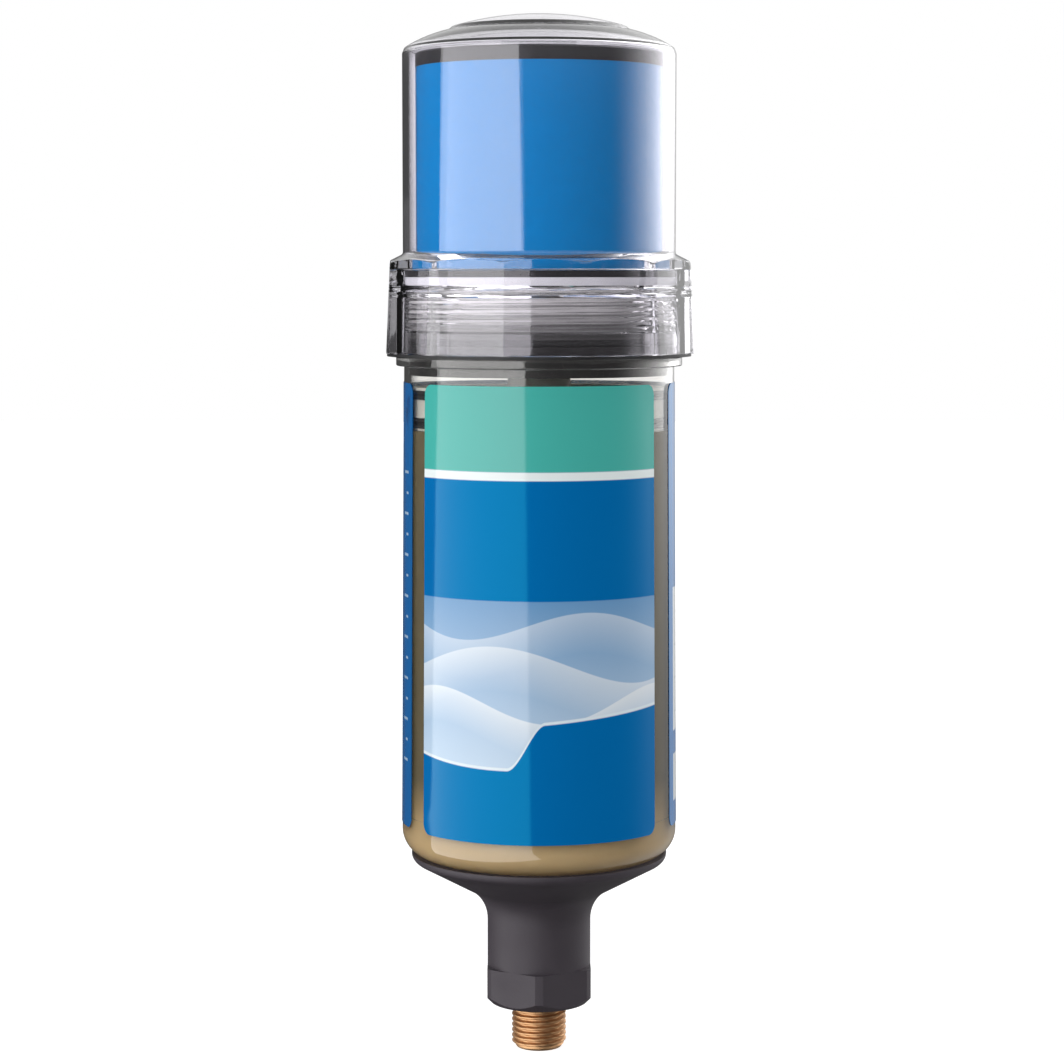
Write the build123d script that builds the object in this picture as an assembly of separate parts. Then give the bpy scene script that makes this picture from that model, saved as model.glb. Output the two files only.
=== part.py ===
from build123d import *
from math import acos, atan, cos, degrees, hypot, pi, radians, sin, sqrt, tan
import os

# Automatic single-point lubricator: clear canister with a driven piston, drive unit under a
# clear screw-on cover, support flange and G 1/4 outlet. Millimetres, +Z up, front towards -Y.
# The origin is the centre of the face that seats on the machine, where the outlet thread starts.

# ---- outlet nipple
thread_d = 13.157
thread_len = 11.3
thread_chamfer = 0.9
outlet_bore_d = 6.4
nipple_head_d = 16.0
nipple_head_h = 9.0
nipple_groove_h = 2.0
nipple_groove_depth = 0.9
nipple_lip = 1.5
thread_relief = 0.3
press_gap = 0.05

# ---- support flange
neck_wall = 4.5
neck_h = 25.5
hex_h = 9.2
hex_corner = 1.4
neck_chamfer = 0.7
flare_rise = 10.0
flare_fillet = 8.8
rim_inset = 2.25
rim_h = 1.0
rim_fillet = 2.2
rim_lip_h = 0.4
rim_lip_w = 0.55
flange_wall = 3.0
rib_count = 6
rib_t = 1.6
socket_tube_wall = 3.2

# ---- canister
bore_d = 61.2
foot_wall = 2.5
top_wall = 1.6
foot_fillet = 6.5
floor_t = 1.8
floor_fillet = 4.5
body_h = 118.0
collar_step = 0.8
collar_h = 2.2
screw_wall = 2.7
screw_h = 16.6
drive_seat_depth = 2.1
seat_step = 0.5
spigot_bore_d = 8.0
spigot_wall = 4.2
spigot_end_gap = 1.5
spigot_gap = 0.3
locating_inset = 5.2
locating_ring_w = 1.8
locating_ring_h = 1.2
locating_gap = 0.2

# ---- seal rings of round section
outlet_seal_section = 1.9
outlet_seal_height = 6.3
base_seal_section = 1.8
base_seal_height = 6.0

# ---- labels
label_t = 0.12
glue_t = 0.02
label_foot_margin = 8.4
label_top_margin = 3.9
front_label_angle = 110.4
left_window_angle = 11.3
right_window_angle = 14.3
label_corner = 2.5

# ---- piston, spindle and grease
piston_h = 10.1
piston_clear = 0.4
piston_head_gap = 2.7
piston_web = 2.5
piston_rim_t = 2.0
hub_d = 18.0
hub_h = 5.4
piston_rib_count = 6
piston_rib_t = 1.4
seal_gap = 0.1
seal_depth = 1.6
seal_seat_gap = 0.06
lower_seal_up = 0.5
lower_seal_h = 2.5
upper_seal_down = 0.7
upper_seal_h = 2.2
seal_notch = 0.6
spindle_d = 10.0
spindle_fit = 0.06
spindle_foot_gap = 0.5
spindle_head_d = 15.0
spindle_head_h = 5.3
dog_af = 6.0
dog_len = 4.2
dog_gap = 0.1
washer_t = 0.4
washer_gap = 0.05
washer_inset = 0.3
heel_h = 10.5
grease_gap = 0.1

# ---- drive base, shell and top
base_wall = 3.2
base_fit = 0.1
base_floor = 2.0
base_flange_inset = 0.1
base_flange_t = 1.5
shell_depth = 6.3
shell_ledge = 1.3
shell_wall = 1.6
shell_fit = 0.1
drive_label_t = 0.15
drive_label_margin = 0.3
cap_h = 3.4
cap_over = 0.2
cap_t = 2.0
cap_wall = 2.0
cap_spigot_h = 3.0
cap_spigot_wall = 1.4
gasket_t = 2.0

# ---- gear train
gear_module = 0.5
pressure_angle = 20.0
addendum = 0.8
dedendum = 1.15
backlash = 0.05
pinion_teeth = 12
idler_teeth = 36
output_teeth = 48
output_wheel_t = 3.0
output_wheel_lift = 1.7
journal_d = 8.4
running_gap = 0.05
boss_wall = 2.3
boss_h = 1.3
top_journal_d = 4.0
idler_wheel_t = 2.5
idler_wheel_lift = 1.0
idler_axle_d = 2.0
axle_sink = 1.2
axle_boss_d = 5.0
axle_boss_h = 0.9
idler_azimuth = -60.0
motor_azimuth = 192.0
motor_pinion_len = 3.4
motor_shaft_d = 2.0
motor_shaft_grip = 5.4

# ---- chassis plate, motor, batteries and electronics
plate_lift = 8.7
plate_t = 1.6
plate_gap = 0.3
post_inset = 3.3
post_d = 4.4
post_count = 3
screw_d = 2.2
screw_head_d = 3.8
screw_head_h = 1.5
screw_grip = 6.0
motor_d = 16.0
motor_h = 30.0
motor_boss_d = 4.8
motor_boss_gap = 0.1
terminal_w = 2.0
terminal_h = 3.0
terminal_t = 0.5
cell_d = 14.2
cell_h = 49.5
cell_nub_d = 5.4
cell_nub_h = 1.0
cell_pitch = 15.0
cell_row_y = 9.0
holder_wall = 1.2
holder_floor = 1.4
holder_gap = 0.1
contact_t = 0.3
contact_w = 9.0
board_edge = 1.7
board_t = 1.6
switch_w = 9.0
switch_h = 5.0
switch_floor = 1.0
switch_clear = 0.6
led_d = 3.0
led_h = 3.2
light_pipe_d = 3.4
light_pipe_head_d = 4.4
light_pipe_head_h = 0.8
light_pipe_x = 8.0
light_pipe_y = 17.0
chip_x = 10.0
chip_w = 7.0
chip_t = 1.2
capacitor_x = -13.0
capacitor_y = 4.0
capacitor_d = 5.0
capacitor_h = 4.4

# ---- setting dial
dial_d = 18.0
dial_h = 4.2
dial_gap = 0.3
dial_flute_count = 12
dial_flute_d = 2.4
dial_grip_w = 4.0
dial_grip_cut = 1.8
dial_shaft_d = 4.0
shaft_gap = 0.2

# ---- protective cover
cover_gap = 1.8
cover_wall = 1.5
cover_thread_room = 1.2
cover_ring_foot_wall = 3.05
cover_ring_top_wall = 2.1
cover_facet_count = 12
cover_facet_turn = 16.8
shoulder_t = 1.5
shoulder_rise = 2.1
cover_corner = 1.0
ring_fillet = 1.2
shoulder_fillet = 0.8
cover_headroom = 1.5
crown_rise = 4.4
crown_bow = 0.5
disc_inset = 11.6
disc_step = 0.8
disc_step_w = 0.8
disc_rise = 3.1
flange_clear = 0.5
cover_seal_t = 0.65
cover_seal_fit = 0.2
cover_seal_gap = 0.05

# ---- radii that follow
thread_r = thread_d / 2
head_r = nipple_head_d / 2
neck_r = head_r + neck_wall
bore_r = bore_d / 2
seat_r = bore_r + seat_step
foot_r = bore_r + foot_wall
top_r = bore_r + top_wall
screw_r = bore_r + screw_wall
collar_r = screw_r + collar_step
rim_r = foot_r - rim_inset
locating_r = bore_r - locating_inset
spigot_r = spigot_bore_d / 2 + spigot_wall
socket_r = spigot_r + spigot_gap
tube_r = socket_r + socket_tube_wall
piston_r = bore_r - piston_clear
spindle_r = spindle_d / 2
base_r = seat_r - base_fit
base_in = base_r - base_wall
journal_r = journal_d / 2
shell_r = base_in + shell_ledge
shell_in = shell_r - shell_wall
cap_r = shell_r + cap_over
post_circle = 2 * (base_in - post_inset)
board_d = 2 * (shell_in - board_edge)
cover_in = shell_r + cover_gap
cover_r = cover_in + cover_wall
ring_bore_r = screw_r + cover_thread_room
ring_foot_r = ring_bore_r + cover_ring_foot_wall
ring_top_r = ring_bore_r + cover_ring_top_wall
disc_r = cover_r - disc_inset

# ---- levels along the axis
head_top = nipple_lip + nipple_head_h
spigot_z = head_top + spigot_end_gap
rim_top = neck_h + flare_rise + rim_h
foot_z = rim_top
collar_z = foot_z + body_h
collar_top = collar_z + collar_h
screw_top = collar_top + screw_h
seat_z = collar_z - drive_seat_depth
floor_in = foot_z + floor_t
heel_top = foot_z + heel_h
piston_top = seat_z - piston_head_gap
piston_z = piston_top - piston_h
base_floor_top = seat_z + base_floor
gasket_top = screw_top + gasket_t
base_top = gasket_top + base_flange_t
shell_bottom = base_top - shell_depth
plate_z = base_floor_top + plate_lift
plate_top = plate_z + plate_t
cell_z = plate_top + holder_floor + contact_t
cell_top = cell_z + cell_h + cell_nub_h
board_z = cell_top + contact_t + holder_floor
board_top = board_z + board_t
cap_top = board_top + switch_h + switch_clear + cap_t
shell_top = cap_top - cap_h
cover_seal_z = collar_top + cover_seal_gap
cover_z = cover_seal_z + cover_seal_t + cover_seal_gap
ring_top = base_top + flange_clear + shoulder_t
shoulder_z = ring_top + shoulder_rise
crown_z = cap_top + cover_headroom
crown_top = crown_z + crown_rise
apex_z = crown_top + disc_step + disc_rise
label_z = foot_z + label_foot_margin
label_top = collar_z - label_top_margin
idler_distance = gear_module * (pinion_teeth + output_teeth) / 2
motor_distance = gear_module * (pinion_teeth + idler_teeth) / 2
idler_x = idler_distance * cos(radians(idler_azimuth))
idler_y = idler_distance * sin(radians(idler_azimuth))
motor_x = idler_x + motor_distance * cos(radians(motor_azimuth))
motor_y = idler_y + motor_distance * sin(radians(motor_azimuth))

os.makedirs("parts", exist_ok=True)


def outline(*steps):
    """Closed face in the XZ plane. A step is (r, z) or (r, z, fillet); a bare number between
    two steps bows the run between them outwards by that sagitta."""
    corners, bows = [], {}
    for step in steps:
        if isinstance(step, tuple):
            corners.append(step)
        else:
            bows[len(corners) - 1] = step
    count = len(corners)
    joined = []
    for i, (r, z, *fillet_r) in enumerate(corners):
        if not fillet_r:
            joined.append(((r, z), None, (r, z)))
            continue
        before, after = corners[i - 1], corners[(i + 1) % count]
        u = Vector(before[0] - r, before[1] - z).normalized()
        v = Vector(after[0] - r, after[1] - z).normalized()
        half = acos(max(-1, min(1, u.dot(v)))) / 2
        reach = fillet_r[0] / tan(half)
        middle = (u + v).normalized() * (fillet_r[0] / sin(half) - fillet_r[0])
        joined.append(
            (
                (r + u.X * reach, z + u.Y * reach),
                (r + middle.X, z + middle.Y),
                (r + v.X * reach, z + v.Y * reach),
            )
        )
    with BuildSketch(Plane.XZ) as sketch:
        with BuildLine():
            for i, (start, middle, end) in enumerate(joined):
                if middle:
                    ThreePointArc(start, middle, end)
                following = joined[(i + 1) % count][0]
                if i in bows:
                    SagittaArc(end, following, bows[i])
                else:
                    Line(end, following)
        make_face()
    return sketch.sketch


def turned(*steps, arc=360.0):
    """Body of revolution about the Z axis from an outline of radii and heights."""
    return revolve(outline(*steps), Axis.Z, arc)


def tube(outer_d, inner_d, z, height, x=0.0, y=0.0):
    body = Pos(x, y, z + height / 2) * Cylinder(outer_d / 2, height)
    if inner_d:
        body -= Pos(x, y, z + height / 2) * Cylinder(inner_d / 2, 2 * height)
    return body


def block(x0, x1, y0, y1, z0, z1):
    return Pos((x0 + x1) / 2, (y0 + y1) / 2, (z0 + z1) / 2) * Box(x1 - x0, y1 - y0, z1 - z0)


def round_ring(centre_r, z, section):
    return Pos(0, 0, z) * Torus(centre_r, section / 2)


def hexagon(across_flats, z, height, turn=0.0):
    shape = RegularPolygon(across_flats / 2, 6, major_radius=False, rotation=turn)
    return Pos(0, 0, z) * extrude(shape, height)


def gear(teeth, z, thickness, x, y, towards, tooth_first):
    """Spur gear with involute flanks. A tooth, or a gap, faces the azimuth called towards."""
    pitch_r = gear_module * teeth / 2
    base_r = pitch_r * cos(radians(pressure_angle))
    tip_r = pitch_r + addendum * gear_module
    root_r = pitch_r - dedendum * gear_module
    half_pitch = pi / (2 * teeth) - backlash / (2 * pitch_r)
    involute = tan(radians(pressure_angle)) - radians(pressure_angle)

    def half_angle(radius):
        turn = acos(min(1, base_r / radius))
        return half_pitch + involute - (tan(turn) - turn)

    flank_r = max(base_r, root_r) + 0.02
    flank = [(r, half_angle(r)) for r in (flank_r, (flank_r + 2 * pitch_r) / 3, tip_r)]
    if root_r < flank_r:
        flank.insert(0, (root_r, half_angle(flank_r) * 0.96))
    points = []
    start = radians(towards) + (0 if tooth_first else pi / teeth)
    for i in range(teeth):
        centre = start + 2 * pi * i / teeth
        points += [(r * cos(centre - a), r * sin(centre - a)) for r, a in flank]
        points += [(r * cos(centre + a), r * sin(centre + a)) for r, a in reversed(flank)]
    with BuildSketch() as sketch:
        with BuildLine():
            Polyline(*points, close=True)
        make_face()
    return Pos(x, y, z) * extrude(sketch.sketch, thickness)


def save(name, body):
    export_step(Part() + body, f"parts/{name}.step")


# ---- outlet nipple: brass, moulded into the neck by its grooved head
groove_z = nipple_lip + (nipple_head_h - nipple_groove_h) / 2
outlet_nipple = turned(
    (outlet_bore_d / 2, -thread_len),
    (thread_r - thread_chamfer, -thread_len),
    (thread_r, thread_chamfer - thread_len),
    (thread_r, 0),
    (thread_r - thread_relief, 0),
    (thread_r - thread_relief, nipple_lip),
    (head_r, nipple_lip),
    (head_r, groove_z),
    (head_r - nipple_groove_depth, groove_z),
    (head_r - nipple_groove_depth, groove_z + nipple_groove_h),
    (head_r, groove_z + nipple_groove_h),
    (head_r, head_top),
    (outlet_bore_d / 2, head_top),
)
save("outlet_nipple", outlet_nipple)

# ---- support flange: cup, flared skirt, neck and spanner flats in one moulding
slope = flare_rise / (rim_r - neck_r)
wall_up = flange_wall * sqrt(1 + slope**2)
recess_r = locating_r + locating_gap
recess_z = rim_top - locating_ring_h - locating_gap
dish_r = min(recess_r, neck_r + (recess_z - wall_up - neck_h) / slope)
lip_r = thread_r - thread_relief + press_gap
support_flange = turned(
    (lip_r, 0),
    (neck_r - neck_chamfer, 0),
    (neck_r, neck_chamfer),
    (neck_r, neck_h, flare_fillet),
    (rim_r, neck_h + flare_rise, rim_fillet),
    (rim_r, rim_top + rim_lip_h),
    (rim_r - rim_lip_w, rim_top + rim_lip_h),
    (rim_r - 3 * rim_lip_w, rim_top),
    (recess_r, rim_top),
    (recess_r, recess_z),
    (dish_r, recess_z),
    (tube_r, neck_h + (tube_r - neck_r) * slope + wall_up),
    (tube_r, recess_z),
    (socket_r, recess_z),
    (socket_r, head_top),
    (head_r + press_gap, head_top),
    (head_r + press_gap, nipple_lip - press_gap),
    (lip_r, nipple_lip - press_gap),
)
flats_r = neck_r + hex_corner
support_flange += hexagon(2 * neck_r, 0, hex_h, 30) & turned(
    (neck_r - 1, 0),
    (neck_r - neck_chamfer, 0),
    (flats_r, flats_r - neck_r + neck_chamfer),
    (flats_r, hex_h),
    (neck_r - 1, hex_h),
)
rib = extrude(
    outline(
        (tube_r - 0.3, recess_z),
        (tube_r - 0.3, neck_h + (tube_r - neck_r) * slope + wall_up - 0.3),
        (dish_r, recess_z - 0.3),
        (dish_r, recess_z),
    ),
    rib_t / 2,
    both=True,
)
for i in range(rib_count):
    support_flange += Rot(0, 0, 360 * i / rib_count) * rib
save("support_flange", support_flange)

# ---- canister: drawn-in foot, outlet spigot, collar and the neck that carries the screw thread
ring_z = spigot_z + outlet_seal_height
seal_groove_r = socket_r - outlet_seal_section
canister = turned(
    (spigot_bore_d / 2, spigot_z),
    (spigot_r, spigot_z),
    (spigot_r, ring_z - outlet_seal_section * 0.6),
    (seal_groove_r, ring_z - outlet_seal_section * 0.6),
    (seal_groove_r, ring_z + outlet_seal_section * 0.6),
    (spigot_r, ring_z + outlet_seal_section * 0.6),
    (spigot_r, foot_z),
    (locating_r - locating_ring_w, foot_z),
    (locating_r - locating_ring_w, foot_z - locating_ring_h),
    (locating_r, foot_z - locating_ring_h),
    (locating_r, foot_z),
    (foot_r, foot_z, foot_fillet),
    (top_r, collar_z),
    (collar_r, collar_z),
    (collar_r, collar_top),
    (screw_r, collar_top),
    (screw_r, screw_top),
    (seat_r, screw_top),
    (seat_r, seat_z),
    (bore_r, seat_z),
    (bore_r, floor_in, floor_fillet),
    (spigot_bore_d / 2, floor_in),
)
save("canister", canister)
save("outlet_seal", round_ring(seal_groove_r + outlet_seal_section / 2, ring_z, outlet_seal_section))

# ---- labels wrapped on the canister, with a clear window left on each side


def canister_r(z):
    return foot_r + (top_r - foot_r) * (z - foot_z) / body_h


def label(middle, arc):
    sheet = turned(
        (canister_r(label_z) + glue_t, label_z),
        (canister_r(label_z) + glue_t + label_t, label_z),
        (canister_r(label_top) + glue_t + label_t, label_top),
        (canister_r(label_top) + glue_t, label_top),
        arc=arc,
    )
    corners = [e for e in sheet.edges() if e.length < 2 * label_t]
    return Rot(0, 0, middle - arc / 2) * fillet(corners, label_corner)


rear_label_angle = 360 - front_label_angle - left_window_angle - right_window_angle
rear_label_middle = 90 + (left_window_angle - right_window_angle) / -2
save("front_label", label(-90, front_label_angle))
save("rear_label", label(rear_label_middle, rear_label_angle))

# ---- grease: the column under the piston and the heel that stays in the foot
grease_r = bore_r - grease_gap
save(
    "grease_heel",
    turned(
        (0, spigot_z),
        (spigot_bore_d / 2 - grease_gap, spigot_z),
        (spigot_bore_d / 2 - grease_gap, floor_in + grease_gap),
        (grease_r, floor_in + grease_gap, floor_fillet),
        (grease_r, heel_top),
        (0, heel_top),
    ),
)
save(
    "grease_charge",
    tube(
        2 * grease_r,
        spindle_d + 2 * grease_gap,
        heel_top + grease_gap,
        piston_z - heel_top - 2 * grease_gap,
    ),
)

# ---- piston: cup with a nut hub, ribs and two seal grooves
groove_r = piston_r - seal_depth
lower_z = piston_z + lower_seal_up
upper_z = piston_top - upper_seal_down - upper_seal_h
rim_in = groove_r - piston_rim_t
piston = turned(
    (spindle_r + spindle_fit, piston_z),
    (piston_r, piston_z),
    (piston_r, lower_z),
    (groove_r, lower_z),
    (groove_r, lower_z + lower_seal_h),
    (piston_r, lower_z + lower_seal_h),
    (piston_r, upper_z),
    (groove_r, upper_z),
    (groove_r, upper_z + upper_seal_h),
    (piston_r, upper_z + upper_seal_h),
    (piston_r, piston_top),
    (rim_in, piston_top),
    (rim_in, piston_z + piston_web),
    (hub_d / 2, piston_z + piston_web),
    (hub_d / 2, piston_z + hub_h),
    (spindle_r + spindle_fit, piston_z + hub_h),
)
for i in range(piston_rib_count):
    piston += Rot(0, 0, 360 * i / piston_rib_count) * block(
        hub_d / 2 - 0.3,
        rim_in + 0.3,
        -piston_rib_t / 2,
        piston_rib_t / 2,
        piston_z + piston_web - 0.3,
        piston_z + hub_h,
    )
save("piston", piston)


def piston_seal(z, height):
    """Double-lipped ring in a piston groove."""
    inner, outer = groove_r + seal_seat_gap, bore_r - seal_gap
    return turned(
        (inner, z + seal_seat_gap),
        (outer, z + seal_seat_gap),
        (outer, z + height * 0.3),
        (outer - seal_notch, z + height / 2),
        (outer, z + height * 0.7),
        (outer, z + height - seal_seat_gap),
        (inner, z + height - seal_seat_gap),
    )


save("piston_seal_lower", piston_seal(lower_z, lower_seal_h))
save("piston_seal_upper", piston_seal(upper_z, upper_seal_h))

# ---- spindle: screw with a socket head that the output wheel drives
spindle_top = seat_z - washer_t - 2 * washer_gap
head_z = spindle_top - spindle_head_h
spindle_z = heel_top + spindle_foot_gap
spindle = turned(
    (0, spindle_z),
    (spindle_r - 1, spindle_z),
    (spindle_r, spindle_z + 1),
    (spindle_r, head_z),
    (spindle_head_d / 2, head_z),
    (spindle_head_d / 2, spindle_top),
    (0, spindle_top),
)
spindle -= hexagon(dog_af + 2 * dog_gap, seat_z - dog_len - dog_gap, dog_len + 1)
save("spindle", spindle)
save(
    "thrust_washer",
    tube(
        spindle_head_d - 2 * washer_inset,
        2 * (journal_r + running_gap),
        spindle_top + washer_gap,
        washer_t,
    ),
)

# ---- drive base: pot that seats in the canister neck, with gear bosses and plate posts
base_seal_z = base_floor_top + base_seal_height
seal_in = seat_r - base_seal_section
drive_base = turned(
    (journal_r + running_gap, seat_z),
    (base_r, seat_z),
    (base_r, base_seal_z - base_seal_section * 0.6),
    (seal_in, base_seal_z - base_seal_section * 0.6),
    (seal_in, base_seal_z + base_seal_section * 0.6),
    (base_r, base_seal_z + base_seal_section * 0.6),
    (base_r, gasket_top),
    (screw_r - base_flange_inset, gasket_top),
    (screw_r - base_flange_inset, base_top),
    (shell_r + shell_fit, base_top),
    (shell_r + shell_fit, shell_bottom),
    (base_in, shell_bottom),
    (base_in, base_floor_top),
    (journal_r + running_gap + boss_wall, base_floor_top),
    (journal_r + running_gap + boss_wall, base_floor_top + boss_h),
    (journal_r + running_gap, base_floor_top + boss_h),
)
drive_base += tube(axle_boss_d, 0, base_floor_top - 0.3, axle_boss_h + 0.3, idler_x, idler_y)
for i in range(post_count):
    azimuth = radians(90 + 360 * i / post_count)
    post = tube(post_d, 0, base_floor_top - 0.3, plate_lift + 0.3, 0, 0)
    post -= tube(screw_d, 0, plate_z - screw_grip, screw_grip + 1)
    drive_base += Pos(post_circle / 2 * cos(azimuth), post_circle / 2 * sin(azimuth), 0) * post
drive_base -= tube(
    idler_axle_d + 2 * press_gap, 0, base_floor_top - axle_sink, axle_sink + 3, idler_x, idler_y
)
save("drive_base", drive_base)
save("base_seal", round_ring(seal_in + base_seal_section / 2, base_seal_z, base_seal_section))
save("rim_gasket", tube(2 * screw_r, 2 * (seat_r + 0.1), screw_top, gasket_t))

# ---- drive shell, its wrap label and the black top
save("drive_shell", tube(2 * shell_r, 2 * shell_in, shell_bottom, shell_top - shell_bottom))
save(
    "drive_label",
    tube(
        2 * (shell_r + drive_label_t),
        2 * shell_r,
        base_top + drive_label_margin,
        shell_top - base_top - drive_label_margin,
    ),
)
cap_in = shell_in - shell_fit
drive_top = turned(
    (dial_shaft_d / 2 + running_gap, cap_top - cap_t),
    (cap_r - cap_wall, cap_top - cap_t),
    (cap_r - cap_wall, shell_top + 0.9),
    (cap_in - cap_spigot_wall, shell_top + 0.9),
    (cap_in - cap_spigot_wall, shell_top - cap_spigot_h),
    (cap_in, shell_top - cap_spigot_h),
    (cap_in, shell_top),
    (cap_r, shell_top),
    (cap_r, cap_top, 0.5),
    (dial_shaft_d / 2 + running_gap, cap_top),
)
for side in (-1, 1):
    drive_top -= tube(
        light_pipe_d + 2 * press_gap, 0, cap_top - 2 * cap_t, 3 * cap_t, side * light_pipe_x, light_pipe_y
    )
save("drive_top", drive_top)

# ---- output wheel: drives the spindle by its six-sided dog
wheel_z = base_floor_top + output_wheel_lift
output_wheel = gear(output_teeth, wheel_z, output_wheel_t, 0, 0, idler_azimuth, False)
output_wheel += tube(journal_d, 0, seat_z, wheel_z - seat_z)
output_wheel += hexagon(dog_af, seat_z - dog_len, dog_len)
output_wheel += tube(top_journal_d, 0, wheel_z + output_wheel_t, plate_top - wheel_z - output_wheel_t)
save("output_wheel", output_wheel)

# ---- idler: wheel and pinion in one piece, on a steel axle
idler_z = base_floor_top + axle_boss_h + 0.2
idler_wheel_z = wheel_z + output_wheel_t + idler_wheel_lift
idler_gear = gear(
    pinion_teeth, idler_z, idler_wheel_z - idler_z, idler_x, idler_y, idler_azimuth + 180, True
)
idler_gear += gear(
    idler_teeth, idler_wheel_z, idler_wheel_t, idler_x, idler_y, motor_azimuth, False
)
idler_gear -= tube(idler_axle_d + 2 * running_gap, 0, idler_z - 1, plate_lift, idler_x, idler_y)
save("idler_gear", idler_gear)
axle_z = base_floor_top - axle_sink
save("idler_axle", tube(idler_axle_d, 0, axle_z, plate_top - axle_z, idler_x, idler_y))

# ---- motor pinion on the geared motor's shaft, and the sealed motor can
motor_pinion_z = idler_wheel_z - (motor_pinion_len - idler_wheel_t) / 2
motor_pinion = gear(
    pinion_teeth, motor_pinion_z, motor_pinion_len, motor_x, motor_y, motor_azimuth + 180, True
)
shaft_top = plate_top + motor_shaft_grip
motor_pinion += tube(
    motor_shaft_d, 0, motor_pinion_z + 0.5, shaft_top - motor_pinion_z - 0.5, motor_x, motor_y
)
save("motor_pinion", motor_pinion)
gear_motor = tube(motor_d, 0, plate_top, motor_h, motor_x, motor_y)
gear_motor = fillet(gear_motor.edges().group_by(Axis.Z)[-1], 0.8)
gear_motor += tube(motor_boss_d, 0, plate_z, plate_t, motor_x, motor_y)
gear_motor -= tube(
    motor_shaft_d + 2 * running_gap, 0, plate_z - 1, shaft_top + 1 - plate_z, motor_x, motor_y
)
for side in (-1, 1):
    gear_motor += block(
        motor_x + side * motor_d / 4 - terminal_w / 2,
        motor_x + side * motor_d / 4 + terminal_w / 2,
        motor_y - terminal_t / 2,
        motor_y + terminal_t / 2,
        plate_top + motor_h - 0.2,
        plate_top + motor_h + terminal_h,
    )
save("gear_motor", gear_motor)

# ---- chassis plate on its posts, with its screws
gear_plate = tube(2 * (base_in - plate_gap), top_journal_d + 2 * running_gap, plate_z, plate_t)
gear_plate -= tube(
    motor_boss_d + 2 * motor_boss_gap, 0, plate_z - 1, plate_t + 2, motor_x, motor_y
)
gear_plate -= tube(
    idler_axle_d + 2 * press_gap, 0, plate_z - 1, plate_t + 2, idler_x, idler_y
)
chassis_screws = Part()
for i in range(post_count):
    azimuth = radians(90 + 360 * i / post_count)
    x, y = post_circle / 2 * cos(azimuth), post_circle / 2 * sin(azimuth)
    gear_plate -= tube(screw_d, 0, plate_z - 1, plate_t + 2, x, y)
    chassis_screws += tube(
        screw_d - 2 * press_gap, 0, plate_z - screw_grip + 0.5, plate_t + screw_grip - 0.5, x, y
    )
    chassis_screws += tube(screw_head_d, 0, plate_top, screw_head_h, x, y)
save("gear_plate", gear_plate)
save("chassis_screws", chassis_screws)

# ---- battery holder with three upright cells in series
cell_r = cell_d / 2
half_row = cell_pitch + cell_r
holder_top = board_z
row_front, row_back = cell_row_y - cell_r, cell_row_y + cell_r
row_face = row_front - holder_gap - holder_wall
battery_holder = block(-half_row, half_row, row_face, row_back, plate_top, plate_top + holder_floor)
battery_holder += block(
    -half_row, half_row, row_face, row_back, holder_top - holder_floor, holder_top
)
battery_holder += block(
    -half_row, half_row, row_face, row_face + holder_wall, plate_top, holder_top
)
for side in (-1, 1):
    x = side * cell_pitch / 2
    battery_holder += block(
        x - 2.0, x + 2.0, row_back - 1.8, row_back, plate_top, holder_top
    )
save("battery_holder", battery_holder)


def cell(x, upright):
    body = fillet(tube(cell_d, 0, 0, cell_h).edges(), 0.5)
    body += tube(cell_nub_d, 0, cell_h, cell_nub_h)
    if not upright:
        body = Pos(0, 0, cell_h + cell_nub_h) * Rot(180, 0, 0) * body
    return Pos(x, cell_row_y, cell_z) * body


save("battery_cell_left", cell(-cell_pitch, True))
save("battery_cell_middle", cell(0, False))
save("battery_cell_right", cell(cell_pitch, True))


def contact(x0, x1, z):
    return block(x0, x1, cell_row_y - contact_w / 2, cell_row_y + contact_w / 2, z, z + contact_t)


half_contact = contact_w / 2
save(
    "battery_contacts",
    Part()
    + contact(-cell_pitch - half_contact, half_contact, cell_z - contact_t)
    + contact(cell_pitch - half_contact, cell_pitch + half_contact, cell_z - contact_t)
    + contact(-half_contact, cell_pitch + half_contact, cell_top)
    + contact(-cell_pitch - half_contact, -cell_pitch + half_contact, cell_top),
)

# ---- circuit board with the setting switch, lamps and small parts
circuit_board = tube(board_d, 0, board_z, board_t)
save("circuit_board", circuit_board)
half_switch = switch_w / 2
setting_switch = block(
    -half_switch, half_switch, -half_switch, half_switch, board_top, board_top + switch_h
)
setting_switch -= tube(dial_shaft_d + 2 * running_gap, 0, board_top + switch_floor, switch_h)
save("setting_switch", setting_switch)
status_lamps = Part()
for side in (-1, 1):
    status_lamps += tube(led_d, 0, board_top, led_h, side * light_pipe_x, light_pipe_y)
save("status_lamps", status_lamps)
save(
    "controller_chip",
    block(chip_x, chip_x + chip_w, -chip_w / 2, chip_w / 2, board_top, board_top + chip_t),
)
save("capacitor", tube(capacitor_d, 0, board_top, capacitor_h, capacitor_x, capacitor_y))
for side, name in ((-1, "light_pipe_run"), (1, "light_pipe_alarm")):
    x = side * light_pipe_x
    pipe_z = board_top + led_h + 0.2
    pipe = tube(light_pipe_d, 0, pipe_z, cap_top - pipe_z, x, light_pipe_y)
    pipe += tube(light_pipe_head_d, 0, cap_top, light_pipe_head_h, x, light_pipe_y)
    save(name, pipe)

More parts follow.
